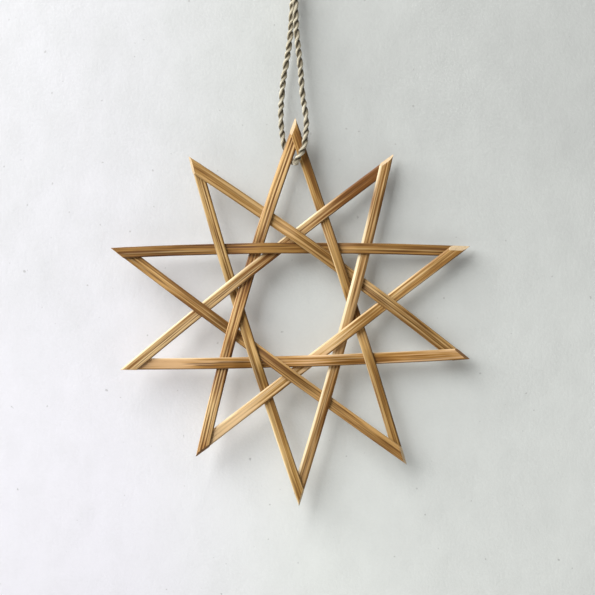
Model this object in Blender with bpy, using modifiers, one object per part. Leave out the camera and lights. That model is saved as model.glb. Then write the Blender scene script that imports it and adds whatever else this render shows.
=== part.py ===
"""Woven bamboo star: ten flat strips interlaced into a ten-pointed star, hung on a loop of twine.

Metres, +Z up, +X to the right, the front faces -Y. The origin is the underside of the cord's knot,
where a hook or nail takes the loop, and the star hangs below it.
"""

import math

import bmesh
import bpy
import numpy as np

# Star outline: tips are counted clockwise from the top one.
TIP_COUNT = 10
TIPS_SPANNED = 4
STAR_RADIUS = 0.0722
# Handmade unevenness: how far each tip reaches past the radius, and how far it sits round from even.
TIP_REACH_OFF = (0.0017, -0.0012, -0.0001, -0.0014, 0.0024, 0.0046, -0.0029, -0.0003, 0.0031, -0.0002)
TIP_TURN_OFF = (0.1, -3.4, -1.5, -1.8, 0.4, -1.2, -2.3, -1.4, 0.1, 1.0)

# Strips: each was split by hand, so widths differ a little, and most bow outwards between their tips.
STRIP_THICKNESS = 0.0009
STRIP_WIDTHS = (0.00385, 0.0043, 0.00445, 0.0044, 0.0044, 0.00405, 0.0045, 0.00435, 0.0042, 0.0047)
STRIP_BOWS = (0.0008, 0.0015, -0.0002, 0.0010, 0.0007, 0.00115, 0.0025, 0.00105, 0.0017, 0.0017)
STRIP_EDGE_BEVEL = 0.00018
STRIP_SEGMENTS = 40
WEAVE_GAP = 0.0003
# At the long narrow overlaps by its middle a strip lies this many weave steps to the front or back.
NARROW_CROSSING_STEPS = 1.12

# Cord: two-ply twine, one length from knot to knot.
CORD_DIAMETER = 0.0024
CORD_POINTS = 76
CORD_GAP = 0.0003
# Room left above the cord where it sits in the narrow opening under the top tip's crossing.
CORD_SEAT_SLACK = 0.0011
# Route from the knot down the left strand, through the opening, and up the right strand.
CORD_ROUTE = (
    (0.0013, 0.0000, -0.0005),
    (0.0016, 0.0001, -0.0022),
    (0.0026, 0.0005, -0.0060),
    (0.0018, 0.0010, -0.0100),
    (0.0002, 0.0014, -0.0145),
    (-0.0008, 0.0014, -0.0202),
    (-0.0014, 0.0013, -0.0280),
    (-0.0020, 0.0013, -0.0357),
    (-0.0032, 0.0013, -0.0435),
    (-0.0045, 0.0014, -0.0512),
    (-0.0052, 0.0016, -0.0590),
    (-0.0055, 0.0019, -0.0655),
    (-0.0050, 0.0024, -0.0715),
    (-0.0043, 0.0028, -0.0757),
    (-0.0034, 0.0031, -0.0791),
    (-0.0020, 0.0030, -0.0819),
    (0.0001, 0.0012, -0.0833),
    (0.0004, -0.0011, -0.0832),
    (0.0018, -0.0030, -0.0808),
    (0.0033, -0.0030, -0.0779),
    (0.0040, -0.0028, -0.0747),
    (0.0044, -0.0023, -0.0705),
    (0.0042, -0.0018, -0.0650),
    (0.0032, -0.0015, -0.0590),
    (0.0025, -0.0014, -0.0512),
    (0.0018, -0.0013, -0.0435),
    (0.0009, -0.0013, -0.0357),
    (0.0004, -0.0013, -0.0280),
    (0.0002, -0.0014, -0.0202),
    (-0.0004, -0.0014, -0.0145),
    (-0.0018, -0.0010, -0.0100),
    (-0.0026, -0.0005, -0.0060),
    (-0.0016, -0.0001, -0.0022),
    (-0.0013, 0.0000, -0.0005),
)

# Knot: one end wound round both strands, with the two trimmed ends left standing above it.
KNOT_WRAPS = 3
# How far neighbouring wraps press into each other.
KNOT_WRAP_PRESS = 0.0001
KNOT_WIDE_STRETCH = 1.25
KNOT_SIDES = 20
WRAP_ARC_POINTS = 5
TAIL_LENGTH = 0.0065
TAIL_SPREAD = 0.0012

# Colours, from pale to dark bamboo, and the grey-beige of the twine.
STRIP_COLOURS = (
    (0.50, 0.29, 0.12),
    (0.58, 0.36, 0.17),
    (0.62, 0.40, 0.19),
    (0.57, 0.36, 0.16),
    (0.50, 0.30, 0.12),
    (0.52, 0.32, 0.13),
    (0.44, 0.24, 0.10),
    (0.55, 0.34, 0.17),
    (0.43, 0.25, 0.11),
    (0.52, 0.32, 0.14),
)
STRIP_ROUGHNESS = 0.45
TWINE_COLOUR = (0.45, 0.38, 0.27)
TWINE_ROUGHNESS = 0.9


def plain_material(name, colour, roughness):
    material = bpy.data.materials.new(name)
    material.use_nodes = True
    shader = material.node_tree.nodes["Principled BSDF"]
    shader.inputs["Base Color"].default_value = (*colour, 1.0)
    shader.inputs["Roughness"].default_value = roughness
    shader.inputs["Metallic"].default_value = 0.0
    return material


def add_object(name, data, collection, material=None):
    thing = bpy.data.objects.new(name, data)
    if material is not None:
        data.materials.append(material)
    collection.objects.link(thing)
    return thing


def tip_point(tip):
    """A tip's place in the star's own plane, (x, z) about the star's middle."""
    tip %= TIP_COUNT
    turn = math.radians(360.0 * tip / TIP_COUNT + TIP_TURN_OFF[tip])
    reach = STAR_RADIUS + TIP_REACH_OFF[tip]
    return reach * np.array([math.sin(turn), math.cos(turn)])


class Strip:
    """One strip in the star's plane: its outer edge runs from its own tip to the tip it spans to."""

    def __init__(self, number):
        self.number = number
        self.width = STRIP_WIDTHS[number]
        self.start = tip_point(number)
        run = tip_point(number + TIPS_SPANNED) - self.start
        self.length = float(np.hypot(*run))
        self.along = run / self.length
        self.outward = np.array([-self.along[1], self.along[0]])

    def edge_point(self, distance, inset):
        """The point this far along the strip and this far in from its outer edge."""
        share = distance / self.length
        bow = STRIP_BOWS[self.number] * 4.0 * share * (1.0 - share)
        return self.start + self.along * distance + self.outward * (bow - inset)

    def heading(self, distance):
        """The strip's direction here, turned by its bow."""
        slope = STRIP_BOWS[self.number] * 4.0 * (1.0 - 2.0 * distance / self.length) / self.length
        direction = self.along + self.outward * slope
        return direction / np.hypot(*direction)


def crossing(strip, inset, other, other_inset):
    """Distances along two strips where the lines at these insets from their outer edges cross."""
    place = np.array([0.5 * strip.length, 0.5 * other.length])
    for _ in range(8):
        apart = strip.edge_point(place[0], inset) - other.edge_point(place[1], other_inset)
        turn = np.column_stack([strip.heading(place[0]), -other.heading(place[1])])
        place -= np.linalg.solve(turn, apart)
    return place


def smooth_step(share):
    share = np.clip(share, 0.0, 1.0)
    return share * share * (3.0 - 2.0 * share)


def overlap_span(strips, number, steps_on):
    """The first and last distance along a strip at which a neighbour, this many tips on, lies over it."""
    strip = strips[number]
    other = strips[(number + steps_on) % TIP_COUNT]
    corners = [
        crossing(strip, inset, other, other_inset)[0]
        for inset in (0.0, strip.width)
        for other_inset in (0.0, other.width)
    ]
    return min(corners), max(corners)


def weave_stations(strips, number):
    """(distance, level) pairs along a strip: in front is negative, and between two it eases over."""
    step = STRIP_THICKNESS + WEAVE_GAP
    own_tip = overlap_span(strips, number, -TIPS_SPANNED)
    first = overlap_span(strips, number, -3)
    narrow_before = overlap_span(strips, number, -1)
    narrow_after = overlap_span(strips, number, 1)
    last = overlap_span(strips, number, 3)
    far_tip = overlap_span(strips, number, TIPS_SPANNED)
    return (
        (0.0, -0.5 * step),
        (own_tip[1], -0.5 * step),
        (first[0], 0.5 * step),
        (first[1], 0.5 * step),
        (narrow_before[0], -NARROW_CROSSING_STEPS * step),
        (narrow_after[1], NARROW_CROSSING_STEPS * step),
        (last[0], -0.5 * step),
        (last[1], -0.5 * step),
        (far_tip[0], 0.5 * step),
        (strips[number].length, 0.5 * step),
    )


def weave_level(stations, distance):
    """The strip's depth at a distance along it."""
    level = stations[0][1]
    for (here, level_here), (there, level_there) in zip(stations, stations[1:]):
        level += (level_there - level_here) * smooth_step((distance - here) / (there - here))
    return level


def trimmed_end(strip, inset, other, at_start):
    """Distance along a strip, at this inset, where the other strip's outer edge cuts it off."""
    corner = strip.edge_point(0.0 if at_start else strip.length, 0.0)
    cut = other.heading(other.length if at_start else 0.0)
    along = strip.heading(0.0 if at_start else strip.length)
    inward = np.array([along[1], -along[0]])
    slant = np.dot(cut, along) / np.dot(cut, inward)
    base = np.dot(corner - strip.start, strip.along)
    return base + inset * slant


def trimmed_ends(strips, number, inset):
    """Where the slanted cuts at the strip's two ends fall, at this inset from its outer edge."""
    strip = strips[number]
    before = strips[(number - TIPS_SPANNED) % TIP_COUNT]
    after = strips[(number + TIPS_SPANNED) % TIP_COUNT]
    return trimmed_end(strip, inset, before, True), trimmed_end(strip, inset, after, False)


def build_strip(strips, number, middle, collection):
    strip = strips[number]
    stations = weave_stations(strips, number)
    shape = bmesh.new()
    bmesh.ops.create_grid(shape, x_segments=STRIP_SEGMENTS, y_segments=1, size=0.5)
    for vertex in shape.verts:
        share = vertex.co.x + 0.5
        inset = (0.5 - vertex.co.y) * strip.width
        first, last = trimmed_ends(strips, number, inset)
        distance = first + (last - first) * share
        x, z = strip.edge_point(distance, inset) + middle
        vertex.co = (x, weave_level(stations, distance), z)
    bmesh.ops.recalc_face_normals(shape, faces=shape.faces)
    mesh = bpy.data.meshes.new("bamboo_strip")
    shape.to_mesh(mesh)
    shape.free()
    name = f"bamboo_strip_{number + 1:02d}"
    material = plain_material(f"bamboo_{number + 1:02d}", STRIP_COLOURS[number], STRIP_ROUGHNESS)
    thing = add_object(name, mesh, collection, material)
    thickness = thing.modifiers.new("thickness", "SOLIDIFY")
    thickness.thickness = STRIP_THICKNESS
    thickness.offset = 0.0
    edges = thing.modifiers.new("eased_edges", "BEVEL")
    edges.width = STRIP_EDGE_BEVEL
    edges.segments = 1
    edges.limit_method = "ANGLE"
    edges.angle_limit = math.radians(50.0)
    return thing


def smooth_route(points, count):
    """Evenly spaced points on the smooth curve through these, with no kink in slope or bend."""
    points = np.array(points)
    knots = np.concatenate([[0.0], np.cumsum(np.linalg.norm(np.diff(points, axis=0), axis=1))])
    step = np.diff(knots)
    size = len(points)
    matrix = np.eye(size)
    right = np.zeros((size, 3))
    for i in range(1, size - 1):
        matrix[i, i - 1] = step[i - 1]
        matrix[i, i] = 2.0 * (step[i - 1] + step[i])
        matrix[i, i + 1] = step[i]
        right[i] = 6.0 * ((points[i + 1] - points[i]) / step[i] - (points[i] - points[i - 1]) / step[i - 1])
    bend = np.linalg.solve(matrix, right)
    places = np.linspace(0.0, knots[-1], 40 * size)
    found = []
    for place in places:
        i = min(int(np.searchsorted(knots, place, side="right")) - 1, size - 2)
        a = (knots[i + 1] - place) / step[i]
        b = 1.0 - a
        curve = ((a**3 - a) * bend[i] + (b**3 - b) * bend[i + 1]) * step[i] ** 2 / 6.0
        found.append(a * points[i] + b * points[i + 1] + curve)
    found = np.array(found)
    run = np.concatenate([[0.0], np.cumsum(np.linalg.norm(np.diff(found, axis=0), axis=1))])
    even = np.linspace(0.0, run[-1], count)
    return np.column_stack([np.interp(even, run, found[:, axis]) for axis in range(3)])


def tube_curve(name, points, diameter):
    curve = bpy.data.curves.new(name, "CURVE")
    curve.dimensions = "3D"
    curve.bevel_depth = 0.5 * diameter
    curve.bevel_resolution = 2
    curve.use_fill_caps = True
    spline = curve.splines.new("POLY")
    spline.points.add(len(points) - 1)
    for point, place in zip(spline.points, points):
        point.co = (*place, 1.0)
    spline.use_smooth = True
    return curve


def build_cord(collection):
    curve = tube_curve("hanging_cord", smooth_route(CORD_ROUTE, CORD_POINTS), CORD_DIAMETER)
    return add_object("hanging_cord", curve, collection, plain_material("twine", TWINE_COLOUR, TWINE_ROUGHNESS))


def knot_profile():
    """The wound barrel's outline from the middle of its top down its outer side to its underside."""
    wrap_radius = 0.5 * CORD_DIAMETER
    ridge = CORD_DIAMETER
    pitch = CORD_DIAMETER - KNOT_WRAP_PRESS
    points = [(0.0, KNOT_WRAPS * pitch)]
    for wrap in reversed(range(KNOT_WRAPS)):
        height = (wrap + 0.5) * pitch
        widest = math.asin(0.5 * pitch / wrap_radius)
        for i in range(WRAP_ARC_POINTS):
            turn = widest * (1.0 - 2.0 * i / (WRAP_ARC_POINTS - 1))
            points.append((ridge + wrap_radius * math.cos(turn), height + wrap_radius * math.sin(turn)))
    points.append((0.0, 0.0))
    return points


def mesh_from_curve(curve, name):
    """A closed mesh with its caps welded, from a tube curve."""
    helper = bpy.data.objects.new(name, curve)
    bpy.context.scene.collection.objects.link(helper)
    bpy.context.view_layer.update()
    graph = bpy.context.evaluated_depsgraph_get()
    mesh = bpy.data.meshes.new_from_object(helper.evaluated_get(graph))
    shape = bmesh.new()
    shape.from_mesh(mesh)
    bmesh.ops.remove_doubles(shape, verts=shape.verts, dist=1e-6)
    shape.to_mesh(mesh)
    shape.free()
    bpy.data.objects.remove(helper)
    return mesh


def build_knot(collection, cutters):
    profile = bpy.data.meshes.new("cord_knot")
    points = knot_profile()
    profile.from_pydata([(x, 0.0, z) for x, z in points], [(i, i + 1) for i in range(len(points) - 1)], [])
    knot = add_object("cord_knot", profile, collection, plain_material("twine_knot", TWINE_COLOUR, TWINE_ROUGHNESS))
    turned = knot.modifiers.new("turned", "SCREW")
    turned.steps = KNOT_SIDES
    turned.render_steps = KNOT_SIDES
    turned.use_merge_vertices = True
    turned.merge_threshold = 0.00001
    knot.scale.x = KNOT_WIDE_STRETCH
    top = KNOT_WRAPS * (CORD_DIAMETER - KNOT_WRAP_PRESS)
    for side in (-1.0, 1.0):
        start = np.array([side * (0.5 * CORD_DIAMETER + CORD_GAP), 0.0, top - CORD_DIAMETER])
        lean = np.array([side * TAIL_SPREAD, 0.0, TAIL_LENGTH + CORD_DIAMETER])
        ends = [start, start + 0.5 * lean * (0.6, 1.0, 1.0), start + lean]
        name = "knot_tail_left" if side < 0.0 else "knot_tail_right"
        tail = add_object(name, mesh_from_curve(tube_curve(name, ends, CORD_DIAMETER), name), cutters)
        tail.hide_render = True
        tail.display_type = "WIRE"
        joined = knot.modifiers.new(name, "BOOLEAN")
        joined.operation = "UNION"
        joined.solver = "EXACT"
        joined.object = tail
    return knot


def build():
    for thing in list(bpy.data.objects):
        bpy.data.objects.remove(thing)
    star = bpy.data.collections.new("woven_bamboo_star")
    cutters = bpy.data.collections.new("knot_helpers")
    bpy.context.scene.collection.children.link(star)
    bpy.context.scene.collection.children.link(cutters)

    # The star hangs by the wedge-shaped opening under its top crossing, round the cord's lowest bend.
    strips = [Strip(number) for number in range(TIP_COUNT)]
    right, left = strips[0], strips[TIP_COUNT - TIPS_SPANNED]
    opening = right.edge_point(crossing(right, right.width, left, left.width)[0], right.width)
    half_tip_angle = math.pi * (0.5 - TIPS_SPANNED / TIP_COUNT)
    cord_drop = 0.5 * CORD_DIAMETER / math.sin(half_tip_angle) + CORD_SEAT_SLACK
    seat = min(point[2] for point in CORD_ROUTE) + cord_drop
    middle = np.array([0.0, seat - opening[1]])

    for number in range(TIP_COUNT):
        build_strip(strips, number, middle, star)
    build_cord(star)
    build_knot(star, cutters)


build()
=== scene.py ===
"""A ten-pointed star woven from split bamboo strips, hung on a knotted loop of two-ply twine."""

import math

import bpy
import numpy as np
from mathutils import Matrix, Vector


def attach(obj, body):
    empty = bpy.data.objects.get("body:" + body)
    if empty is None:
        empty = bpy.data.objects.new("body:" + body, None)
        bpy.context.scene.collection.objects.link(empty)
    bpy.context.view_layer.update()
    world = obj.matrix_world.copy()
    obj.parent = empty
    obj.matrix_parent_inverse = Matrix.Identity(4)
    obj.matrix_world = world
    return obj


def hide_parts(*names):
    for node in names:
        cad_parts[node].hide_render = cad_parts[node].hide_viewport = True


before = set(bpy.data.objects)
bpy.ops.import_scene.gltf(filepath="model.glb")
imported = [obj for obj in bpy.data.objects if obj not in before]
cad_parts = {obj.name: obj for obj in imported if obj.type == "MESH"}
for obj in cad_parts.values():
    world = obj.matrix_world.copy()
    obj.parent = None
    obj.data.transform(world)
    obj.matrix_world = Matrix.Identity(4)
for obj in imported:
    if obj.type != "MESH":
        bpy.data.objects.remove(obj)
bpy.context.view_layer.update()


# Camera
# Straight in front of the star and level with it, about 64 cm away. Across the photograph's 595
# pixels lie 231 mm of the star's own plane, and the star's middle is a little below the middle.
PHOTO_PIXELS = 595
PIXEL_SIZE = 0.000388
# The frame's zero, where the loop hangs, is 52 pixels above the photograph's top edge.
HOOK_PIXEL = (294.9, -52.0)
LENS = 100.0
SENSOR = 36.0

camera_data = bpy.data.cameras.new("photo_camera")
camera_data.lens = LENS
camera_data.sensor_width = SENSOR
camera = bpy.data.objects.new("photo_camera", camera_data)
bpy.context.scene.collection.objects.link(camera)
camera.location = (
    (0.5 * PHOTO_PIXELS - HOOK_PIXEL[0]) * PIXEL_SIZE,
    -PHOTO_PIXELS * PIXEL_SIZE * LENS / SENSOR,
    -(0.5 * PHOTO_PIXELS - HOOK_PIXEL[1]) * PIXEL_SIZE,
)
camera.rotation_euler = (math.radians(90.0), 0.0, 0.0)
bpy.context.scene.camera = camera


# Hanging cord
# One length of natural two-ply twine: down from the knot, behind the top tip's left strip, forward
# through the small opening under the crossing and up in front of its right strip, back to the knot.
CORD_DIAMETER = 0.0024
CORD_ROUTE = (
    (0.0013, 0.0000, -0.0005),
    (0.0016, 0.0001, -0.0022),
    (0.0026, 0.0005, -0.0060),
    (0.0018, 0.0010, -0.0100),
    (0.0002, 0.0014, -0.0145),
    (-0.0008, 0.0014, -0.0202),
    (-0.0014, 0.0013, -0.0280),
    (-0.0020, 0.0013, -0.0357),
    (-0.0032, 0.0013, -0.0435),
    (-0.0045, 0.0014, -0.0512),
    (-0.0052, 0.0016, -0.0590),
    (-0.0055, 0.0019, -0.0655),
    (-0.0050, 0.0024, -0.0715),
    (-0.0043, 0.0028, -0.0757),
    (-0.0034, 0.0031, -0.0791),
    (-0.0020, 0.0030, -0.0819),
    (0.0001, 0.0012, -0.0833),
    (0.0004, -0.0011, -0.0832),
    (0.0018, -0.0030, -0.0808),
    (0.0033, -0.0030, -0.0779),
    (0.0040, -0.0028, -0.0747),
    (0.0044, -0.0023, -0.0705),
    (0.0042, -0.0018, -0.0650),
    (0.0032, -0.0015, -0.0590),
    (0.0025, -0.0014, -0.0512),
    (0.0018, -0.0013, -0.0435),
    (0.0009, -0.0013, -0.0357),
    (0.0004, -0.0013, -0.0280),
    (0.0002, -0.0014, -0.0202),
    (-0.0004, -0.0014, -0.0145),
    (-0.0018, -0.0010, -0.0100),
    (-0.0026, -0.0005, -0.0060),
    (-0.0016, -0.0001, -0.0022),
    (-0.0013, 0.0000, -0.0005),
)
# The twist: how far one ply runs in going once round, its uneven places as turns and radians a
# metre, and how tightly the yarn in it is spun.
PLY_LAY = 0.0077
LAY_WOBBLES = ((0.045, 610.0), (0.03, 1730.0))
CORD_START_TURN = 0.4
YARN_STRANDS = 7
YARN_STRAND_DEPTH = 0.055
YARN_TURNS_PER_LAY = -0.55
# A ply: half its height and width as shares of the cord's diameter, how far its outer side is drawn
# in, and its thick and thin places as size, radians a metre and shift from one ply to the other.
PLY_HALF_HEIGHT = 0.255
PLY_HALF_WIDTH = 0.31
PLY_DRAWN_IN = 0.12
PLUMP_WAVES = ((0.06, 1130.0, 2.0), (0.05, 2900.0, 1.0))
# Painted shade in the hollow between the plies: almost none on a ply's crest and full on its flanks.
HOLLOW_SHADE_MIDDLE = 0.93
HOLLOW_SHADE_SWING = 0.9
HOLLOW_SHADE_POWER = 1.1
PLY_SIDES = 28
RING_SPACING = 0.0003
ROUTE_STEPS = 40
FULL_TURN = 6.2832
# Stray fibres: where they root, out from the middle as a share of the diameter, how they run along
# the cord and slant across it, their lengths as shares of the longest, and their lift and taper.
STRAY_FIBRES = 170
STRAY_FIBRE_LONGEST = 0.0022
STRAY_FIBRE_RADIUS = 0.000028
STRAY_FIBRE_SEED = 11
FIBRE_ROOT = 0.36
FIBRE_ALONG = (0.5, 1.0)
FIBRE_SLANT = 0.6
FIBRE_LENGTHS = (0.35, 1.0)
FIBRE_LIFT = (0.15, 0.7)
FIBRE_DROOP = 0.35
FIBRE_TAPER = 0.75
FIBRE_STEPS = 6
FIBRE_SIDES = 3

# The noise on the twine is scaled along it, per metre, and round it, per radian.
TWINE_FIBRE_SCALES = (260.0, 5.0)
TWINE_PATCH_SCALES = (110.0, 0.6)
TWINE_FLECK_SCALES = (900.0, 9.0)
TWINE_RELIEF = 0.00006
TWINE_ROUGHNESS = 0.78
TWINE_GLOSS = 0.25
TWINE_SHEEN = 0.25
TWINE_SHEEN_ROUGHNESS = 0.5
TWINE_CREASE = 55.0
TWINE_PALE = (0.79, 0.73, 0.57, 1.0)
TWINE_MID = (0.36, 0.30, 0.19, 1.0)
# Dark brown used both for painted shade in the ply hollows and for real dark flecks in the yarn.
TWINE_SHADE_AND_FLECK = (0.085, 0.060, 0.026, 1.0)


class Wire:
    """A shader socket. Sums and products of wires and numbers add the Math nodes they need."""

    def __init__(self, tree, socket=None):
        self.tree = tree
        self.socket = socket

    def node(self, kind, settings, sockets, output=0):
        """Any node: its settings first, then a value or a wire for each socket named."""
        made = self.tree.nodes.new("ShaderNode" + kind)
        for name, value in settings.items():
            setattr(made, name, value)
        for name, value in sockets.items():
            if isinstance(value, Wire):
                self.tree.links.new(value.socket, made.inputs[name])
            else:
                made.inputs[name].default_value = value
        return Wire(self.tree, made.outputs[output])

    def math(self, operation, first, second=0.0):
        return self.node("Math", {"operation": operation}, {0: first, 1: second})

    def __add__(self, other):
        return self.math("ADD", self, other)

    def __radd__(self, other):
        return self.math("ADD", other, self)

    def __sub__(self, other):
        return self.math("SUBTRACT", self, other)

    def __rsub__(self, other):
        return self.math("SUBTRACT", other, self)

    def __mul__(self, other):
        return self.math("MULTIPLY", self, other)

    def __rmul__(self, other):
        return self.math("MULTIPLY", other, self)

    def between(self, low, high):
        """0 at low, 1 at high and eased between them."""
        settings = {"interpolation_type": "SMOOTHSTEP"}
        return self.node("MapRange", settings, {"Value": self, "From Min": low, "From Max": high})

    def mix(self, start, end):
        """From the start colour at 0 to the end colour at 1."""
        return self.node("Mix", {"data_type": "RGBA"}, {0: self, 6: start, 7: end}, 2)

    def vector(self, x, y, z):
        return self.node("CombineXYZ", {}, {0: x, 1: y, 2: z})

    def part(self, axis):
        """One axis of a vector."""
        return self.node("SeparateXYZ", {}, {0: self}, axis)

    def noise(self, place, detail):
        """Noise about 0.5, with features about 1 across at this place."""
        return self.node("TexNoise", {}, {"Vector": place, "Scale": 1.0, "Detail": detail})

    def streaks(self, along, across, scales, seed, detail):
        """Noise that is drawn out along a piece, by its scales along and across it."""
        return self.noise(self.vector(along * scales[0], across * scales[1], seed), detail)


def new_material(name):
    """A material, a bare wire in its tree, and its Principled shader."""
    material = bpy.data.materials.new(name)
    material.use_nodes = True
    return material, Wire(material.node_tree), material.node_tree.nodes["Principled BSDF"]


def twine_finish(name):
    """Twine: pale yarn with darker fibres lying along it, and painted shade in the hollows between the
    plies.
    """
    material, bare, shader = new_material(name)
    lay = bare.node("Attribute", {"attribute_name": "lay"}, {}, 1)
    along, around, hollow_shade = (lay.part(axis) for axis in range(3))
    fibres = bare.streaks(along, around, TWINE_FIBRE_SCALES, 0.3, 3.0)
    patches = bare.streaks(along, around, TWINE_PATCH_SCALES, 7.1, 2.0)
    fleck = bare.streaks(along, around, TWINE_FLECK_SCALES, 3.7, 1.0)
    tone = (0.65 * fibres + 0.35 * patches).between(0.36, 0.62)
    colour = tone.mix(TWINE_MID, TWINE_PALE)
    # Painted shade: the flanks of each ply, towards the hollow between the plies, are darkened.
    colour = (hollow_shade * 0.85).mix(colour, TWINE_SHADE_AND_FLECK)
    colour = (fleck.between(0.62, 0.78) * 0.5).mix(colour, TWINE_SHADE_AND_FLECK)
    height = fibres + 0.4 * fleck
    bump = bare.node("Bump", {}, {"Strength": 0.9, "Distance": TWINE_RELIEF, "Height": height})
    tree = material.node_tree
    tree.links.new(colour.socket, shader.inputs["Base Color"])
    tree.links.new(bump.socket, shader.inputs["Normal"])
    shader.inputs["Roughness"].default_value = TWINE_ROUGHNESS
    shader.inputs["Specular IOR Level"].default_value = TWINE_GLOSS
    shader.inputs["Sheen Weight"].default_value = TWINE_SHEEN
    shader.inputs["Sheen Roughness"].default_value = TWINE_SHEEN_ROUGHNESS
    return material


def smooth_route(points, spacing):
    """Evenly spaced points on the smooth curve through these, with no kink in slope or bend."""
    points = np.array(points)
    knots = np.concatenate([[0.0], np.cumsum(np.linalg.norm(np.diff(points, axis=0), axis=1))])
    step = np.diff(knots)[:, None]
    slope = np.diff(points, axis=0) / step
    size = len(points)
    matrix = np.eye(size)
    right = np.zeros((size, 3))
    for i in range(1, size - 1):
        matrix[i, i - 1 : i + 2] = (step[i - 1, 0], 2.0 * (step[i - 1, 0] + step[i, 0]), step[i, 0])
        right[i] = 6.0 * (slope[i] - slope[i - 1])
    bend = np.linalg.solve(matrix, right)
    places = np.linspace(0.0, knots[-1], ROUTE_STEPS * size)
    i = np.clip(np.searchsorted(knots, places, side="right") - 1, 0, size - 2)
    a = (knots[i + 1] - places)[:, None] / step[i]
    b = 1.0 - a
    found = a * points[i] + b * points[i + 1]
    found += ((a**3 - a) * bend[i] + (b**3 - b) * bend[i + 1]) * step[i] ** 2 / 6.0
    run = np.concatenate([[0.0], np.cumsum(np.linalg.norm(np.diff(found, axis=0), axis=1))])
    even = np.linspace(0.0, run[-1], max(4, round(run[-1] / spacing)) + 1)
    return np.column_stack([np.interp(even, run, found[:, axis]) for axis in range(3)])


def frames_along(points):
    """Distance along the points, the direction there, and two sideways directions that don't spin."""
    run = np.concatenate([[0.0], np.cumsum(np.linalg.norm(np.diff(points, axis=0), axis=1))])
    ahead = np.gradient(points, axis=0)
    ahead /= np.linalg.norm(ahead, axis=1)[:, None]
    side = np.zeros_like(points)
    side[0] = np.cross(ahead[0], (0.0, 1.0, 0.0))
    side[0] /= np.linalg.norm(side[0])
    for i in range(1, len(points)):
        side[i] = side[i - 1] - ahead[i] * np.dot(side[i - 1], ahead[i])
        side[i] /= np.linalg.norm(side[i])
    return run, ahead, side, np.cross(ahead, side)


def tube_faces(rings, sides, first):
    """Quads round a tube of rings, with a face across each end."""
    ring, turn = np.meshgrid(np.arange(rings - 1), np.arange(sides), indexing="ij")
    here = first + ring * sides + turn
    beside = first + ring * sides + (turn + 1) % sides
    quads = np.stack([here, beside, beside + sides, here + sides], axis=-1).reshape(-1, 4).tolist()
    last = first + (rings - 1) * sides
    return quads + [list(range(first + sides - 1, first - 1, -1)), list(range(last, last + sides))]


def plies(points, diameter, start_turn, splay=0.0):
    """Vertices, faces and lay values of two plies laid right-handed round each other; the lay values
    carry the painted shade of the hollows.

    Each ply is squeezed flat where it presses on the other. With splay they spread at the end."""
    run, ahead, side, up = frames_along(points)
    turns = run / PLY_LAY
    for size, rate in LAY_WOBBLES:
        turns = turns + size * np.sin(run * rate)
    spin = 2.0 * math.pi * turns + start_turn
    around = np.linspace(0.0, 2.0 * math.pi, PLY_SIDES, endpoint=False)
    # Painted shade, strongest on a ply's flanks where it meets the hollow between the plies.
    hollow_shade = np.clip(HOLLOW_SHADE_MIDDLE - HOLLOW_SHADE_SWING * np.cos(around), 0.0, 1.0) ** HOLLOW_SHADE_POWER
    vertices, faces, lay = [], [], []
    for ply in (0, 1):
        turn = spin + math.pi * ply
        out = np.cos(turn)[:, None] * side + np.sin(turn)[:, None] * up
        over = np.cross(ahead, out)
        plump = 1.0
        for size, rate, shift in PLUMP_WAVES:
            plump = plump + size * np.sin(run * rate + shift * ply)
        yarn = around[None, :] + (2.0 * math.pi * YARN_TURNS_PER_LAY / PLY_LAY) * run[:, None]
        strand = 1.0 - YARN_STRAND_DEPTH * (0.5 + 0.5 * np.cos(YARN_STRANDS * yarn)) ** 2
        centre = 0.25 * diameter * (1.0 + splay * (run / run[-1]) ** 3)
        high = PLY_HALF_HEIGHT * diameter * plump[:, None] * strand
        wide = PLY_HALF_WIDTH * diameter * plump[:, None] * strand
        reach = centre[:, None] + high * np.cos(around)
        across = wide * np.sin(around) * (1.0 - PLY_DRAWN_IN * np.cos(around))
        place = points[:, None, :] + reach[..., None] * out[:, None, :]
        place = place + across[..., None] * over[:, None, :]
        faces += tube_faces(len(points), PLY_SIDES, len(vertices) * len(points) * PLY_SIDES)
        vertices.append(place.reshape(-1, 3))
        values = np.broadcast_arrays(run[:, None] + ply, yarn % FULL_TURN, hollow_shade)
        lay.append(np.stack(values, -1).reshape(-1, 3))
    return np.concatenate(vertices), faces, np.concatenate(lay)


def stray_fibres(points, diameter, count, longest, seed):
    """Fine hairs that lift out of the twine and lie back along it: vertices, faces, lay values."""
    random = np.random.default_rng(seed)
    _, ahead, side, up = frames_along(points)
    around = np.linspace(0.0, 2.0 * math.pi, FIBRE_SIDES, endpoint=False)
    share = np.linspace(0.0, 1.0, FIBRE_STEPS)[:, None]
    thin = STRAY_FIBRE_RADIUS * (1.0 - FIBRE_TAPER * share[:, 0])
    corners = FIBRE_STEPS * FIBRE_SIDES
    vertices, faces, lay = [], [], []
    for hair in range(count):
        i = random.integers(0, len(points))
        turn = random.uniform(0.0, 2.0 * math.pi)
        out = math.cos(turn) * side[i] + math.sin(turn) * up[i]
        over = np.cross(ahead[i], out)
        way = ahead[i] * random.choice((-1.0, 1.0)) * random.uniform(*FIBRE_ALONG)
        way = way + over * random.uniform(-FIBRE_SLANT, FIBRE_SLANT)
        length = longest * random.uniform(*FIBRE_LENGTHS)
        lift = random.uniform(*FIBRE_LIFT)
        line = points[i] + out * (FIBRE_ROOT * diameter) + way * length * share
        line = line + out * length * lift * share * (1.0 - FIBRE_DROOP * share)
        ring = np.cos(around)[None, :, None] * out + np.sin(around)[None, :, None] * over
        place = line[:, None, :] + thin[:, None, None] * ring
        faces += tube_faces(FIBRE_STEPS, FIBRE_SIDES, hair * corners)
        vertices.append(place.reshape(-1, 3))
        run = np.repeat(share[:, 0] * length, FIBRE_SIDES)
        lay.append(np.column_stack([run, np.full(corners, turn), np.zeros(corners)]))
    return np.concatenate(vertices), faces, np.concatenate(lay)


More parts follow.
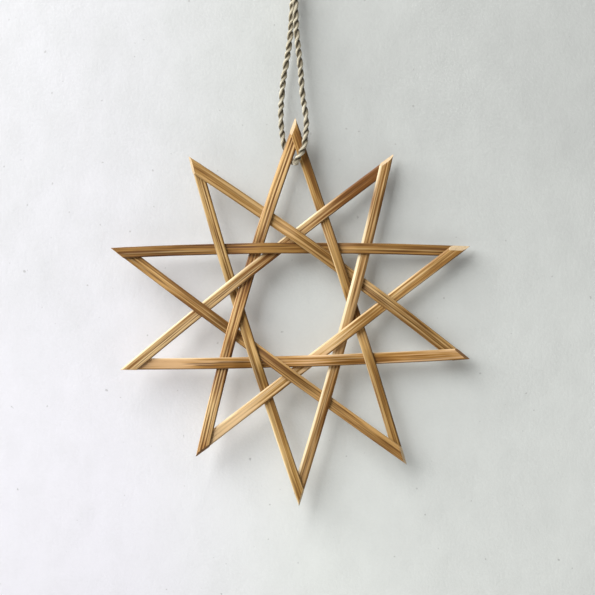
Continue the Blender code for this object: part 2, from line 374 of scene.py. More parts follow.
def mesh_piece(name, shells, attribute, material):
    """One mesh object from several closed shells, each with its vertices, faces and attribute."""
    vertices, faces, values = [], [], []
    for places, corners, value in shells:
        first = sum(len(v) for v in vertices)
        faces += [[first + corner for corner in face] for face in corners]
        vertices.append(places)
        values.append(value)
    mesh = bpy.data.meshes.new(name)
    mesh.from_pydata(np.concatenate(vertices).tolist(), [], faces)
    layer = mesh.attributes.new(attribute, "FLOAT_VECTOR", "POINT")
    layer.data.foreach_set("vector", np.concatenate(values).astype(np.float32).ravel())
    mesh.materials.append(material)
    mesh.shade_smooth()
    mesh.set_sharp_from_angle(angle=math.radians(TWINE_CREASE))
    piece = bpy.data.objects.new(name, mesh)
    bpy.context.scene.collection.objects.link(piece)
    return piece


cord_line = smooth_route(CORD_ROUTE, RING_SPACING)
twine = twine_finish("natural_twine")
cord_shells = [
    plies(cord_line, CORD_DIAMETER, CORD_START_TURN),
    stray_fibres(cord_line, CORD_DIAMETER, STRAY_FIBRES, STRAY_FIBRE_LONGEST, STRAY_FIBRE_SEED),
]
cord = mesh_piece("hanging_cord_twine", cord_shells, "lay", twine)
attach(cord, "root")
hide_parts("hanging_cord")


# Knot
# The cord's two ends are held together by three turns of the same twine wound round them, tucked
# in and drawn tight, and are trimmed short above it, where the cut ends have begun to fray.
WRAPS = 3
WRAP_PRESS = 0.0001
WRAP_POINTS = 220
WRAP_POINT_STEP = 6
WRAP_START_TURN = 1.2
KNOT_STRETCH = 1.25
# The wrapping's ends are tucked in: how far past the whole turns they go and how soon they rise,
# in turns, and the wraps' radius as shares of the diameter, tucked and how much more when full.
TUCK_TURNS = 0.12
TUCK_EASE = 0.16
TUCKED_RADIUS = 0.55
TUCK_RISE = 0.45
# Each tail, measured out from the middle: its foot in the cord's end, its waist in the wraps, its
# neck just above them, and the spread, lean, thinning and opening of its plies up to the cut.
TAIL_LENGTH = 0.0058
TAIL_SPREAD = 0.0011
TAIL_FOOT = (0.0013, 0.0003)
TAIL_WAIST = 0.00115
TAIL_NECK = 0.0015
TAIL_TOP = 0.0014
TAIL_LEAN = 0.0002
TAIL_THINNING = 0.92
TAIL_TURN = 0.9
TAIL_SPLAY = 0.35
FRAY_FIBRES = 46
FRAY_LONGEST = 0.0016

wrap_pitch = CORD_DIAMETER - WRAP_PRESS
knot_top = WRAPS * wrap_pitch
turns = np.linspace(-TUCK_TURNS, WRAPS + TUCK_TURNS, WRAP_POINTS)
angle = 2.0 * math.pi * turns
tuck = np.clip(np.minimum(turns + TUCK_TURNS, WRAPS + TUCK_TURNS - turns) / TUCK_EASE, 0.0, 1.0)
wrap_radius = CORD_DIAMETER * (TUCKED_RADIUS + TUCK_RISE * tuck * tuck * (3.0 - 2.0 * tuck))
climb = 0.5 * CORD_DIAMETER + (knot_top - CORD_DIAMETER) * np.clip(turns / WRAPS, 0.0, 1.0)
wrap_line = np.column_stack([
    -KNOT_STRETCH * wrap_radius * np.cos(angle),
    -wrap_radius * np.sin(angle),
    climb,
])
wrap_route = smooth_route(wrap_line[::WRAP_POINT_STEP], RING_SPACING)
shells = [plies(wrap_route, CORD_DIAMETER, WRAP_START_TURN)]
for side, seed in ((-1.0, 5), (1.0, 6)):
    tail_line = smooth_route(
        (
            (side * TAIL_FOOT[0], 0.0, TAIL_FOOT[1]),
            (side * TAIL_WAIST, 0.0, 0.4 * knot_top),
            (side * TAIL_WAIST, 0.0, 0.8 * knot_top),
            (side * TAIL_NECK, 0.0, knot_top + 0.3 * TAIL_LENGTH),
            (side * (TAIL_TOP + TAIL_SPREAD), TAIL_LEAN * side, knot_top + TAIL_LENGTH),
        ),
        RING_SPACING,
    )
    shells.append(plies(tail_line, TAIL_THINNING * CORD_DIAMETER, TAIL_TURN * side, splay=TAIL_SPLAY))
    shells.append(stray_fibres(tail_line[-4:], 0.5 * CORD_DIAMETER, FRAY_FIBRES, FRAY_LONGEST, seed))
knot = mesh_piece("cord_knot_twine", shells, "lay", twine_finish("knotted_twine"))
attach(knot, "root")
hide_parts("cord_knot")


# Bamboo strips
# Ten strips split from one cane, planed flat on the face, eased along both edges and trimmed on
# the slant at the tips. They are woven over and under, and hold each other by their own spring.
TIP_COUNT = 10
TIPS_SPANNED = 4
STAR_RADIUS = 0.0722
# Handmade unevenness: how far each tip reaches past the radius, and how far it sits round from even.
TIP_REACH_OFF = (0.0017, -0.0012, -0.0001, -0.0014, 0.0024, 0.0046, -0.0029, -0.0003, 0.0031, -0.0002)
TIP_TURN_OFF = (0.1, -3.4, -1.5, -1.8, 0.4, -1.2, -2.3, -1.4, 0.1, 1.0)
# Each strip was split by hand, so widths differ a little, and most bow outwards between their tips.
STRIP_THICKNESS = 0.0009
STRIP_WIDTHS = (0.00385, 0.0043, 0.00445, 0.0044, 0.0044, 0.00405, 0.0045, 0.00435, 0.0042, 0.0047)
STRIP_BOWS = (0.0008, 0.0015, -0.0002, 0.0010, 0.0007, 0.00115, 0.0025, 0.00105, 0.0017, 0.0017)
# Strips that cross lie one weave step apart, and at the long narrow overlaps by its middle a strip
# lies this many steps to the front or back.
WEAVE_STEP = 0.0012
NARROW_CROSSING_STEPS = 1.12
# Room left above the cord where it sits in the narrow opening under the top tip's crossing.
CORD_SEAT_SLACK = 0.0011
# How wide the eased edges are on the face, outer and inner, and how far they fall away.
EASED_EDGES = (
    (0.00050, 0.00045),
    (0.00090, 0.00105),
    (0.00050, 0.00070),
    (0.00045, 0.00050),
    (0.00045, 0.00050),
    (0.00050, 0.00045),
    (0.00050, 0.00060),
    (0.00065, 0.00045),
    (0.00040, 0.00040),
    (0.00050, 0.00050),
)
EASED_DEPTH = 0.00042
EASED_POWER = 1.3
CROWN = 0.00005
BACK_ROUNDING = 0.00012
# How far the slanted cut at each strip's own tip leans back, so that the cut shows from the front.
CUT_LEAN = (0.0020, 0.0018, 0.0030, 0.0016, 0.0015, 0.0010, 0.0014, 0.0003, 0.0003, 0.0012)
# Lines that run along single strips: inset and stretch as shares of width and length, and depth.
# A positive depth is a dark split or fibre, and a negative one is a pale raised fibre.
LONG_MARKS = (
    (
        (0.14, 0.02, 0.98, 0.6), (0.34, 0.10, 0.56, 0.5), (0.72, 0.15, 0.50, -0.5),
        (0.42, 0.60, 0.98, 0.7), (0.66, 0.10, 0.45, 0.4), (0.80, 0.60, 0.98, -0.5),
    ),
    (
        (0.30, 0.03, 0.22, -0.5), (0.20, 0.05, 0.50, 0.5), (0.40, 0.55, 0.98, 0.7),
        (0.54, 0.60, 0.96, 0.8), (0.47, 0.10, 0.45, 0.5), (0.62, 0.02, 0.97, -0.4),
    ),
    (
        (0.30, 0.04, 0.50, 0.4), (0.48, 0.02, 0.32, 0.4), (0.62, 0.03, 0.55, -0.4),
        (0.40, 0.60, 0.97, 0.35), (0.70, 0.60, 0.95, 0.3),
    ),
    (
        (0.34, 0.66, 0.80, 0.9), (0.50, 0.61, 0.83, 1.0), (0.62, 0.62, 0.74, 0.9),
        (0.20, 0.03, 0.60, 0.5), (0.62, 0.28, 0.58, -0.4), (0.44, 0.04, 0.30, 0.4),
    ),
    (
        (0.24, 0.03, 0.55, 0.6), (0.42, 0.05, 0.97, 0.7), (0.58, 0.03, 0.50, 0.6),
        (0.72, 0.20, 0.97, 0.7), (0.33, 0.55, 0.97, -0.4), (0.64, 0.60, 0.95, -0.4),
    ),
    (
        (0.22, 0.03, 0.97, -0.4), (0.36, 0.10, 0.55, 0.5), (0.42, 0.60, 0.98, 0.9),
        (0.52, 0.60, 0.98, -0.6), (0.64, 0.58, 0.98, 0.9), (0.76, 0.62, 0.96, -0.5),
    ),
    (
        (0.12, 0.02, 0.26, 0.8), (0.24, 0.03, 0.26, -0.7), (0.36, 0.02, 0.36, 0.8),
        (0.50, 0.04, 0.34, -0.9), (0.62, 0.05, 0.36, 0.9), (0.72, 0.03, 0.30, -0.8),
        (0.36, 0.60, 0.96, 0.7), (0.47, 0.58, 0.93, -0.5), (0.60, 0.60, 0.97, 0.8),
        (0.73, 0.62, 0.95, -0.6), (0.30, 0.30, 0.52, -0.4),
    ),
    (
        (0.16, 0.28, 0.56, -0.8), (0.50, 0.02, 0.55, 0.8), (0.60, 0.02, 0.30, -0.6),
        (0.68, 0.02, 0.52, 0.9), (0.78, 0.02, 0.28, -0.8), (0.45, 0.60, 0.98, 0.5),
    ),
    (
        (0.06, 0.02, 0.97, 0.7), (0.62, 0.02, 0.30, -0.5), (0.74, 0.02, 0.30, 0.9),
        (0.32, 0.05, 0.98, 0.5), (0.55, 0.60, 0.97, -0.4), (0.68, 0.62, 0.97, 0.8),
    ),
    (
        (0.25, 0.03, 0.30, -0.4), (0.44, 0.03, 0.55, 0.5), (0.26, 0.58, 0.96, 0.8),
        (0.36, 0.60, 0.94, -0.5), (0.46, 0.58, 0.96, 0.8), (0.60, 0.58, 0.95, 0.8),
        (0.68, 0.62, 0.94, -0.5), (0.76, 0.60, 0.96, 0.7),
    ),
)
# The marks: their width, depth and strength, the share of the strip over which their ends taper,
# and how they wander sideways and fade along it.
MARK_WIDTH = 0.00022
MARK_DEPTH = 0.00007
MARK_STRENGTH = 1.25
MARK_TAPER = 0.03
MARK_WANDER = 0.00009
MARK_WANDER_RATES = (60.0, 140.0)
MARK_FADE = 0.25
MARK_FADE_RATES = (200.0, 500.0)
# Ribs along the face: the range of their widths, and how they sway along the strip.
RIB_DEPTH = 0.00003
RIB_WAVES = 9
RIB_WIDTHS = (0.00035, 0.0012)
RIB_SWAY = 0.5
RIB_SWAY_LENGTHS = (0.03, 0.09)
STRIP_SEED = 40
FACE_COLUMNS = 46
BACK_COLUMNS = 12
STRIP_RINGS = 300
CROSSING_STEPS = 8
STRIP_CREASE = 38.0
# Each strip's own wood: dark streaks, body and pale streaks.
STRIP_TONES = (
    ((0.186, 0.076, 0.012), (0.376, 0.198, 0.050), (0.532, 0.311, 0.104)),
    ((0.209, 0.085, 0.015), (0.402, 0.210, 0.064), (0.577, 0.350, 0.144)),
    ((0.324, 0.153, 0.033), (0.598, 0.353, 0.120), (0.814, 0.551, 0.284)),
    ((0.231, 0.093, 0.014), (0.451, 0.225, 0.051), (0.666, 0.409, 0.200)),
    ((0.196, 0.083, 0.017), (0.383, 0.198, 0.052), (0.562, 0.324, 0.112)),
    ((0.220, 0.100, 0.020), (0.416, 0.232, 0.062), (0.626, 0.392, 0.153)),
    ((0.149, 0.055, 0.013), (0.400, 0.189, 0.054), (0.731, 0.456, 0.185)),
    ((0.186, 0.069, 0.012), (0.381, 0.197, 0.063), (0.587, 0.379, 0.168)),
    ((0.122, 0.043, 0.007), (0.247, 0.113, 0.023), (0.393, 0.205, 0.053)),
    ((0.187, 0.077, 0.013), (0.379, 0.204, 0.055), (0.556, 0.342, 0.133)),
)
# Darker and paler stretches of single strips: middle and reach as shares of its length, and tone.
STRIP_STRETCHES = (
    ((0.00, 0.03, 1.6), (0.07, 0.06, -0.5), (0.42, 0.06, 0.6), (0.55, 0.04, -0.9), (0.64, 0.07, 0.6)),
    ((0.14, 0.06, -0.9), (0.46, 0.16, 0.9), (0.54, 0.06, 0.5), (0.66, 0.06, -0.4), (0.86, 0.08, 0.3)),
    ((0.06, 0.10, -0.6), (0.33, 0.06, -0.3), (0.53, 0.08, 0.8), (0.66, 0.05, -0.2), (0.90, 0.13, 1.4)),
    ((0.21, 0.06, 0.3), (0.53, 0.06, -0.5), (0.88, 0.09, 1.35)),
    ((0.15, 0.04, 0.4), (0.33, 0.07, 0.8), (0.66, 0.05, -0.2), (0.77, 0.05, -0.3), (0.86, 0.06, 0.3)),
    ((0.18, 0.08, 0.8), (0.34, 0.06, -0.7), (0.52, 0.10, -0.5), (0.77, 0.05, -0.5)),
    ((0.14, 0.05, 1.0), (0.24, 0.05, -0.5), (0.34, 0.06, -0.4), (0.53, 0.08, -0.5), (0.80, 0.12, 0.6)),
    ((0.13, 0.08, 1.1), (0.34, 0.08, 1.0), (0.53, 0.08, -0.3), (0.66, 0.06, 0.8), (0.89, 0.13, -1.2)),
    ((0.34, 0.05, -0.6), (0.43, 0.06, 0.8), (0.64, 0.10, 0.6), (0.77, 0.06, -0.2)),
    ((0.24, 0.12, 0.6), (0.53, 0.06, 0.4), (0.62, 0.06, 0.3), (0.78, 0.05, -0.5), (0.90, 0.06, -0.4)),
)
# Painted highlight and painted shade on each strip's outer and inner eased edge, set by whether that
# edge faces the light from the upper left: from 1, a painted highlight over paler planed wood, to -1,
# brown painted shade.
EDGE_LIGHT_SHADE_TONES = (
    (-0.9, 0.5),
    (-0.5, 1.5),
    (-0.6, 0.6),
    (-0.8, 0.6),
    (-0.5, 0.3),
    (0.8, -0.7),
    (0.4, -0.9),
    (1.0, -0.8),
    (0.2, -0.7),
    (0.3, -0.5),
)
# How sharply an eased edge takes its painted highlight or shade, and how much a pale, highlighted edge
# follows the strip's stretches.
EDGE_TINT = 1.6
EDGE_FOLLOWS = 0.9
EDGE_BRIGHTNESS = (0.1, 1.4)
# The back's grain is taken this far from the face's.
BACK_GRAIN_SHIFT = 0.006
# Cream of the planed edges that face the light: painted highlight over paler wood.
EDGE_HIGHLIGHT_CREAM = (0.84, 0.68, 0.42, 1.0)
# Brown of the planed edges that face away from the light: painted shade.
EDGE_SHADE_BROWN = (0.12, 0.050, 0.012, 1.0)
CUT_PALE = (0.70, 0.52, 0.31, 1.0)
# Cuts that face away from the light take a brown colour, which is painted shade; these strips have such
# cuts.
CUT_SHADE_BROWN = (0.24, 0.12, 0.045, 1.0)
SHADED_CUTS = (3, 6)
MARK_BROWN = (0.10, 0.042, 0.010, 1.0)
FIBRE_CREAM = (0.80, 0.60, 0.31, 1.0)
# The noise in the wood is scaled along a strip and across it, per metre.
CLOUD_SCALES = (38.0, 260.0)
STREAK_SCALES = (26.0, 1300.0)
FIBRE_SCALES = (60.0, 4200.0)
HAIR_SCALES = (420.0, 9000.0)
CUT_SCALES = (1500.0, 3800.0)
WOOD_RELIEF = 0.00008
WOOD_ROUGHNESS = 0.40
WOOD_GLOSS = 0.3
CUT_ROUGHNESS = 0.75
WOOD_SEED_STEP = 3.1


def tip_point(tip):
    """A tip's place in the star's own plane, (x, z) about the star's middle."""
    tip %= TIP_COUNT
    turn = math.radians(360.0 * tip / TIP_COUNT + TIP_TURN_OFF[tip])
    return (STAR_RADIUS + TIP_REACH_OFF[tip]) * np.array([math.sin(turn), math.cos(turn)])


class Strip:
    """One strip in the star's plane: its outer edge runs from its own tip to the tip it spans to."""

    def __init__(self, number):
        self.bow = STRIP_BOWS[number]
        self.width = STRIP_WIDTHS[number]
        self.start = tip_point(number)
        run = tip_point(number + TIPS_SPANNED) - self.start
        self.length = float(np.hypot(*run))
        self.along = run / self.length
        self.outward = np.array([-self.along[1], self.along[0]])

    def edge_point(self, distance, inset):
        """The points this far along the strip and this far in from its outer edge."""
        share = distance / self.length
        out = self.bow * 4.0 * share * (1.0 - share) - inset
        place = self.start + np.multiply.outer(distance, self.along)
        return place + np.multiply.outer(out, self.outward)

    def heading(self, distance):
        """The strip's direction here, turned by its bow."""
        slope = self.bow * 4.0 * (1.0 - 2.0 * distance / self.length) / self.length
        direction = self.along + self.outward * slope
        return direction / np.hypot(*direction)


def crossing(strip, inset, other, other_inset):
    """Distance along a strip where the lines at these insets from two outer edges cross."""
    place = np.array([0.5 * strip.length, 0.5 * other.length])
    for _ in range(CROSSING_STEPS):
        apart = strip.edge_point(place[0], inset) - other.edge_point(place[1], other_inset)
        headings = np.column_stack([strip.heading(place[0]), -other.heading(place[1])])
        place -= np.linalg.solve(headings, apart)
    return place[0]


def overlap_span(strips, number, steps_on):
    """How far along a strip its crossing with a neighbour, this many tips on, begins and ends."""
    strip = strips[number]
    other = strips[(number + steps_on) % TIP_COUNT]
    corners = [
        crossing(strip, inset, other, other_inset)
        for inset in (0.0, strip.width)
        for other_inset in (0.0, other.width)
    ]
    return min(corners), max(corners)


def smooth_step(share):
    share = np.clip(share, 0.0, 1.0)
    return share * share * (3.0 - 2.0 * share)


def weave_level(strips, number, distance):
    """A strip's depth along it: over its own tip, under, over twice, under twice, over, and under."""
    neighbours = (-TIPS_SPANNED, -3, -1, 1, 3, TIPS_SPANNED)
    spans = [overlap_span(strips, number, steps_on) for steps_on in neighbours]
    stations = (
        (0.0, -0.5),
        (spans[0][1], -0.5),
        (spans[1][0], 0.5),
        (spans[1][1], 0.5),
        (spans[2][0], -NARROW_CROSSING_STEPS),
        (spans[3][1], NARROW_CROSSING_STEPS),
        (spans[4][0], -0.5),
        (spans[4][1], -0.5),
        (spans[5][0], 0.5),
        (strips[number].length, 0.5),
    )
    level = np.full_like(distance, stations[0][1])
    for (here, level_here), (there, level_there) in zip(stations, stations[1:]):
        level += (level_there - level_here) * smooth_step((distance - here) / (there - here))
    return WEAVE_STEP * level


def trimmed_end(strip, inset, other, at_start):
    """Distance along a strip, at these insets, where the other strip's outer edge cuts it off."""
    end = 0.0 if at_start else strip.length
    cut = other.heading(other.length if at_start else 0.0)
    along = strip.heading(end)
    inward = np.array([along[1], -along[0]])
    return end + inset * np.dot(cut, along) / np.dot(cut, inward)


def strip_section(number):
    """The strip's section as a loop, (inset, depth, on the face, painted edge highlight or shade), face
    first.
    """
    width = STRIP_WIDTHS[number]
    outer, inner = EASED_EDGES[number]
    inset = width * np.linspace(0.0, 1.0, FACE_COLUMNS)
    fall = np.maximum(1.0 - inset / outer, 0.0) ** EASED_POWER
    fall = fall + np.maximum(1.0 - (width - inset) / inner, 0.0) ** EASED_POWER
    crowned = CROWN * (2.0 * inset / width - 1.0) ** 2
    face = np.column_stack([
        inset,
        -0.5 * STRIP_THICKNESS + crowned + EASED_DEPTH * fall,
        np.ones(FACE_COLUMNS),
        np.clip(EDGE_TINT * fall, 0.0, 1.0) ** 0.5 * np.where(inset < 0.5 * width, *EDGE_LIGHT_SHADE_TONES[number]),
    ])
    back_inset = width * np.linspace(1.0, 0.0, BACK_COLUMNS)
    rounding = np.zeros(BACK_COLUMNS)
    rounding[[0, -1]] = BACK_ROUNDING
    back = np.column_stack([
        back_inset, 0.5 * STRIP_THICKNESS - rounding, np.zeros(BACK_COLUMNS), np.zeros(BACK_COLUMNS),
    ])
    return np.concatenate([face, back])


def strip_mesh(strips, number, middle):
    """Vertices, faces and two sets of values of one strip, with ribs and marks cut into its face."""
    strip = strips[number]
    random = np.random.default_rng(STRIP_SEED + number)
    section = strip_section(number)
    inset, depth, on_face, edge_light_shade = (section[:, column][None, :] for column in range(4))
    first = trimmed_end(strip, inset, strips[(number - TIPS_SPANNED) % TIP_COUNT], True)
    last = trimmed_end(strip, inset, strips[(number + TIPS_SPANNED) % TIP_COUNT], False)
    rise = 0.5 - depth / STRIP_THICKNESS
    first = first + CUT_LEAN[number] * rise
    share = np.linspace(0.0, 1.0, STRIP_RINGS)[:, None]
    distance = first + (last - first) * share

    relief = np.zeros_like(distance)
    for _ in range(RIB_WAVES):
        rib_width = random.uniform(*RIB_WIDTHS)
        phase = 2.0 * math.pi * distance / random.uniform(*RIB_SWAY_LENGTHS)
        sway = RIB_SWAY * np.sin(phase + random.uniform(0.0, 6.0))
        relief += np.sin(2.0 * math.pi * inset / rib_width + random.uniform(0.0, 6.0) + sway)
    carve = RIB_DEPTH * (0.5 + relief / RIB_WAVES)
    marks = np.zeros_like(distance)
    along = distance / strip.length
    for place, start, end, deep in LONG_MARKS[number]:
        wander = np.sin(distance * random.uniform(*MARK_WANDER_RATES) + random.uniform(0.0, 6.0))
        gap = np.abs(inset - place * strip.width - MARK_WANDER * wander) / MARK_WIDTH
        run = smooth_step((along - start) / MARK_TAPER) * smooth_step((end - along) / MARK_TAPER)
        fade = np.sin(distance * random.uniform(*MARK_FADE_RATES) + random.uniform(0.0, 6.0))
        broken = 1.0 - MARK_FADE + MARK_FADE * fade
        marks += MARK_STRENGTH * deep * run * broken * np.exp(-gap * gap)
    marks = np.clip(marks, -1.0, 1.0)
    carve = on_face * np.maximum(carve + MARK_DEPTH * marks, 0.0)

    level = weave_level(strips, number, distance)
    stretch = np.zeros_like(distance)
    for place, reach, tone in STRIP_STRETCHES[number]:
        stretch += tone * np.exp(-(((along - place) / reach) ** 2))
    flat = strip.edge_point(distance, inset) + middle
    places = np.stack([flat[..., 0], level + depth + carve, flat[..., 1]], axis=-1).reshape(-1, 3)
    faces = tube_faces(STRIP_RINGS, section.shape[0], 0)
    across = inset + BACK_GRAIN_SHIFT * (1.0 - on_face)
    grain = np.stack(np.broadcast_arrays(distance, across, stretch), -1)
    bright = np.where(edge_light_shade > 0.0, np.clip(1.0 + EDGE_FOLLOWS * stretch, *EDGE_BRIGHTNESS), 1.0)
    finish = np.stack(np.broadcast_arrays(edge_light_shade * bright, marks, on_face), -1)
    return places, faces, grain.reshape(-1, 3), finish.reshape(-1, 3)


def bamboo_finish(name, tones, seed):
    """Bamboo: streaks and fine fibres along the strip, dark split fibres, and a painted highlight or
    painted shade on the planed edges.
    """
    dark, body, pale = ((*tone, 1.0) for tone in tones)
    material, bare, shader = new_material(name)
    grain = bare.node("Attribute", {"attribute_name": "grain"}, {}, 1)
    finish = bare.node("Attribute", {"attribute_name": "finish"}, {}, 1)
    along, across, stretch = (grain.part(axis) for axis in range(3))
    edge_light_shade, marks, on_face = (finish.part(axis) for axis in range(3))
    cloud = bare.streaks(along, across, CLOUD_SCALES, seed, 2.0)
    streak = bare.streaks(along, across, STREAK_SCALES, seed + 11.0, 2.0)
    fibre = bare.streaks(along, across, FIBRE_SCALES, seed + 23.0, 2.0)
    hair = bare.streaks(along, across, HAIR_SCALES, seed + 31.0, 2.0)
    tone = 0.24 * cloud + 0.50 * streak + 0.26 * fibre + 0.10 * stretch
    lower = tone.between(0.42, 0.51).mix(dark, body)
    colour = tone.between(0.49, 0.58).mix(lower, pale)
    pores = hair.between(0.60, 0.74) * fibre.between(0.42, 0.60)
    colour = (pores * 0.35).mix(colour, dark)
    # Painted highlight: cream on the edges that face the light.
    edge_highlight = edge_light_shade.between(0.0, 1.4) * (0.5 + streak)
    colour = (edge_highlight * on_face).mix(colour, EDGE_HIGHLIGHT_CREAM)
    # Painted shade: brown on the edges that face away from the light.
    edge_shade = (0.0 - edge_light_shade).between(0.0, 1.2) * (0.55 + fibre)
    colour = (edge_shade * on_face).mix(colour, EDGE_SHADE_BROWN)
    colour = (marks * 0.9).mix(colour, MARK_BROWN)
    colour = (marks * -0.75).mix(colour, FIBRE_CREAM)
    height = 0.5 * fibre + 0.3 * hair + 0.4 * streak - 0.3 * marks
    bump = bare.node("Bump", {}, {"Strength": 0.55, "Distance": WOOD_RELIEF, "Height": height})
    rough = WOOD_ROUGHNESS + 0.22 * fibre + 0.15 * marks
    tree = material.node_tree
    tree.links.new(colour.socket, shader.inputs["Base Color"])
    tree.links.new(rough.socket, shader.inputs["Roughness"])
    tree.links.new(bump.socket, shader.inputs["Normal"])
    shader.inputs["Specular IOR Level"].default_value = WOOD_GLOSS
    return material


def cut_finish(name, wood):
    """The slanted cut through the strip: its wood with the dark ends of its fibre bundles."""
    material, bare, shader = new_material(name)
    grain = bare.node("Attribute", {"attribute_name": "grain"}, {}, 1)
    dots = bare.streaks(grain.part(0), grain.part(1), CUT_SCALES, 1.7, 2.0)
    colour = (dots.between(0.50, 0.68) * 0.5).mix(wood, MARK_BROWN)
    bump = bare.node("Bump", {}, {"Strength": 0.6, "Distance": WOOD_RELIEF, "Height": dots})
    tree = material.node_tree
    tree.links.new(colour.socket, shader.inputs["Base Color"])
    tree.links.new(bump.socket, shader.inputs["Normal"])
    shader.inputs["Roughness"].default_value = CUT_ROUGHNESS
    return material


strips = [Strip(number) for number in range(TIP_COUNT)]
right, left = strips[0], strips[TIP_COUNT - TIPS_SPANNED]
opening = right.edge_point(crossing(right, right.width, left, left.width), right.width)
half_tip_angle = math.pi * (0.5 - TIPS_SPANNED / TIP_COUNT)
cord_bottom = min(point[2] for point in CORD_ROUTE)
seat = cord_bottom + 0.5 * CORD_DIAMETER / math.sin(half_tip_angle) + CORD_SEAT_SLACK
middle = np.array([0.0, seat - opening[1]])
pale_cut = cut_finish("cut_bamboo", CUT_PALE)
# The cuts that face away from the light get the brown painted shade.
shaded_cut = cut_finish("shaded_cut_bamboo", CUT_SHADE_BROWN)

for number in range(TIP_COUNT):
    name = f"bamboo_strip_{number + 1:02d}"
    places, faces, grain, finish = strip_mesh(strips, number, middle)
    mesh = bpy.data.meshes.new(name + "_fibred")
    mesh.from_pydata(places.tolist(), [], faces)
    for layer_name, values in (("grain", grain), ("finish", finish)):
        layer = mesh.attributes.new(layer_name, "FLOAT_VECTOR", "POINT")
        layer.data.foreach_set("vector", values.astype(np.float32).ravel())
    wood = bamboo_finish(name + "_wood", STRIP_TONES[number], WOOD_SEED_STEP * number)
    mesh.materials.append(wood)
    mesh.materials.append(shaded_cut if number in SHADED_CUTS else pale_cut)
    for end_face in mesh.polygons[-2:]:
        end_face.material_index = 1
    mesh.shade_smooth()
    mesh.set_sharp_from_angle(angle=math.radians(STRIP_CREASE))
    piece = bpy.data.objects.new(name + "_fibred", mesh)
    bpy.context.scene.collection.objects.link(piece)
    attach(piece, "root")
    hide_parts(name)


# Wall and floor
# A plain wall of pale trowelled plaster. It is close behind the star's right tips and farther off at
# its left and below, so the shadow is near and dark at the right and soft elsewhere. Its colour turns
# greyer towards the top and the right, which is painted shade. The wall shows only its front, so that
# the star can be seen from behind as well.
# How far the wall stands behind the star's own plane at one height, and its lean across and up.
WALL_GAP = 0.0084
WALL_GAP_HEIGHT = -0.11
WALL_LEAN = (-0.058, 0.037)
WALL_SIZE = 2.4
FLOOR_HEIGHT = -0.75
PLASTER_PALE = (0.85, 0.83, 0.868, 1.0)
PLASTER_WARM = (0.825, 0.84, 0.80, 1.0)
# Grey that the plaster turns towards the top and right: painted shade.
PLASTER_SHADE_GREY = (0.545, 0.553, 0.528, 1.0)
PIT_GREY = (0.36, 0.35, 0.33, 1.0)
FLOOR_PAINT = (0.80, 0.80, 0.79, 1.0)
MATT_ROUGHNESS = 0.9
PLASTER_GLOSS = 0.1
PLASTER_RELIEF = 0.0006
# The noise in the plaster is scaled across the wall and up it, per metre.
CLOUDING_SCALES = (16.0, 13.0)
TROWEL_SCALES = (95.0, 70.0)
GRIT_SCALES = (900.0, 900.0)
PIT_SCALES = (420.0, 420.0)
# Painted shade: the plaster turns greyer between two heights and then between two places across. Its
# pale side turns from cool, where the window light is strongest, to warm, which is a painted tint of
# light.
SHADE_HEIGHTS = (-0.256, -0.025)
SHADE_PLACES = (-0.02, 0.08)
WARM_PLACES = (-0.05, 0.05)


def plain_sheet(name, corners, material):
    """One flat sheet that belongs to the room and not to the star."""
    mesh = bpy.data.meshes.new(name)
    mesh.from_pydata(corners, [], [(0, 1, 2, 3)])
    mesh.materials.append(material)
    sheet = bpy.data.objects.new(name, mesh)
    bpy.context.scene.collection.objects.link(sheet)
    return sheet


def plaster_noise(bare, across, up, scales, seed, detail):
    """Noise over the wall, by its scales across it and up it."""
    return bare.noise(bare.vector(across * scales[0], seed, up * scales[1]), detail)


wall_plaster, bare, shader = new_material("pale_plaster")
place = bare.node("TexCoord", {}, {}, 3)
across, up = place.part(0), place.part(2)
cloud = plaster_noise(bare, across, up, CLOUDING_SCALES, 0.4, 3.0)
trowel = plaster_noise(bare, across, up, TROWEL_SCALES, 2.7, 4.0)
grit = plaster_noise(bare, across, up, GRIT_SCALES, 5.1, 2.0)
upper_shade = up.between(*SHADE_HEIGHTS)
right_shade = (across + 0.05 * upper_shade).between(*SHADE_PLACES)
mottle = 0.30 * cloud + 0.30 * trowel + 0.12 * grit - 0.36
# Painted shade greys the plaster towards the top and the right; the mottle is the plaster's own.
tone = 0.51 * upper_shade + (0.27 + 0.12 * upper_shade) * right_shade + mottle
pale_side = (across + 0.03).between(*WARM_PLACES).mix(PLASTER_PALE, PLASTER_WARM)
plaster = tone.mix(pale_side, PLASTER_SHADE_GREY)
pits = plaster_noise(bare, across, up, PIT_SCALES, 8.3, 1.0).between(0.77, 0.83)
plaster = (pits * 0.5).mix(plaster, PIT_GREY)
height = trowel + 0.3 * grit
relief = bare.node("Bump", {}, {"Strength": 0.35, "Distance": PLASTER_RELIEF, "Height": height})
wall_plaster.node_tree.links.new(plaster.socket, shader.inputs["Base Color"])
wall_plaster.node_tree.links.new(relief.socket, shader.inputs["Normal"])
shader.inputs["Roughness"].default_value = MATT_ROUGHNESS
shader.inputs["Specular IOR Level"].default_value = PLASTER_GLOSS
behind = bare.node("NewGeometry", {}, {}, 6)
clear = bare.node("BsdfTransparent", {}, {})
one_sided = bare.node("MixShader", {}, {0: behind, 1: Wire(bare.tree, shader.outputs[0]), 2: clear})
output = wall_plaster.node_tree.nodes["Material Output"]
wall_plaster.node_tree.links.new(one_sided.socket, output.inputs["Surface"])
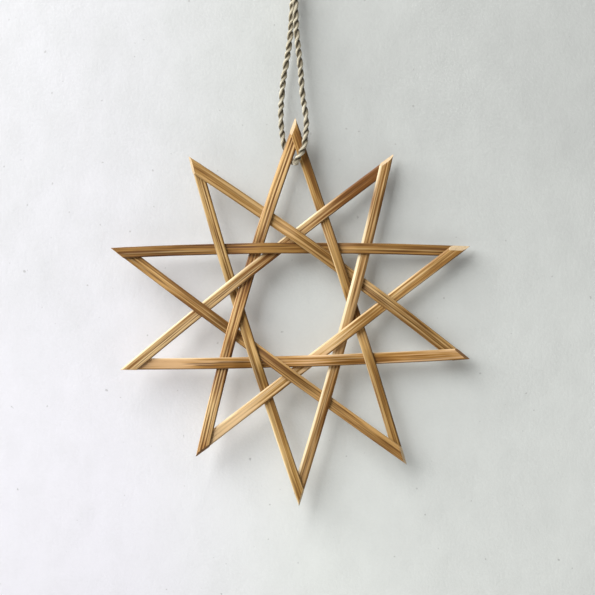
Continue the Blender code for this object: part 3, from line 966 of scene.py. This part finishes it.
reach = 0.5 * WALL_SIZE
wall_corners = [
    (x, WALL_GAP + WALL_LEAN[0] * x - WALL_LEAN[1] * (z - WALL_GAP_HEIGHT), z)
    for x, z in ((-reach, FLOOR_HEIGHT), (reach, FLOOR_HEIGHT), (reach, reach), (-reach, reach))
]
plain_sheet("pale_wall", wall_corners, wall_plaster)
floor_paint, bare, shader = new_material("pale_floor")
shader.inputs["Base Color"].default_value = FLOOR_PAINT
shader.inputs["Roughness"].default_value = MATT_ROUGHNESS
floor_corners = [
    (x, y, FLOOR_HEIGHT)
    for x, y in ((-reach, -reach), (reach, -reach), (reach, reach), (-reach, reach))
]
plain_sheet("pale_floor", floor_corners, floor_paint)


# Light
# One large soft light to the upper left, as from a window, falls across the star at a low angle
# and picks out its edges. A pale even surround lights what faces away from the window.
STAR_MIDDLE = np.array([0.0, 0.0, -0.1396])
LIGHT_DIRECTION = np.array([-1.0, -0.76, 0.9])
LIGHT_DISTANCE = 1.0
WINDOW_WIDTH = 1.1
WINDOW_HEIGHT = 0.8
LIGHT_POWER = 20.5
LIGHT_COLOUR = (0.97, 0.985, 1.0)
SURROUND_COLOUR = (1.0, 0.975, 0.94, 1.0)
SURROUND_STRENGTH = 0.105

window = bpy.data.lights.new("window_light", "AREA")
window.shape = "RECTANGLE"
window.size = WINDOW_WIDTH
window.size_y = WINDOW_HEIGHT
window.energy = LIGHT_POWER
window.color = LIGHT_COLOUR
window_object = bpy.data.objects.new("window_light", window)
bpy.context.scene.collection.objects.link(window_object)
towards = LIGHT_DIRECTION / np.linalg.norm(LIGHT_DIRECTION)
window_object.location = STAR_MIDDLE + LIGHT_DISTANCE * towards
window_object.rotation_euler = Vector(towards).to_track_quat("Z", "Y").to_euler()

world = bpy.data.worlds.new("pale_surround")
bpy.context.scene.world = world
world.use_nodes = True
background = world.node_tree.nodes["Background"]
background.inputs["Color"].default_value = SURROUND_COLOUR
background.inputs["Strength"].default_value = SURROUND_STRENGTH
bpy.context.scene.view_settings.view_transform = "Standard"
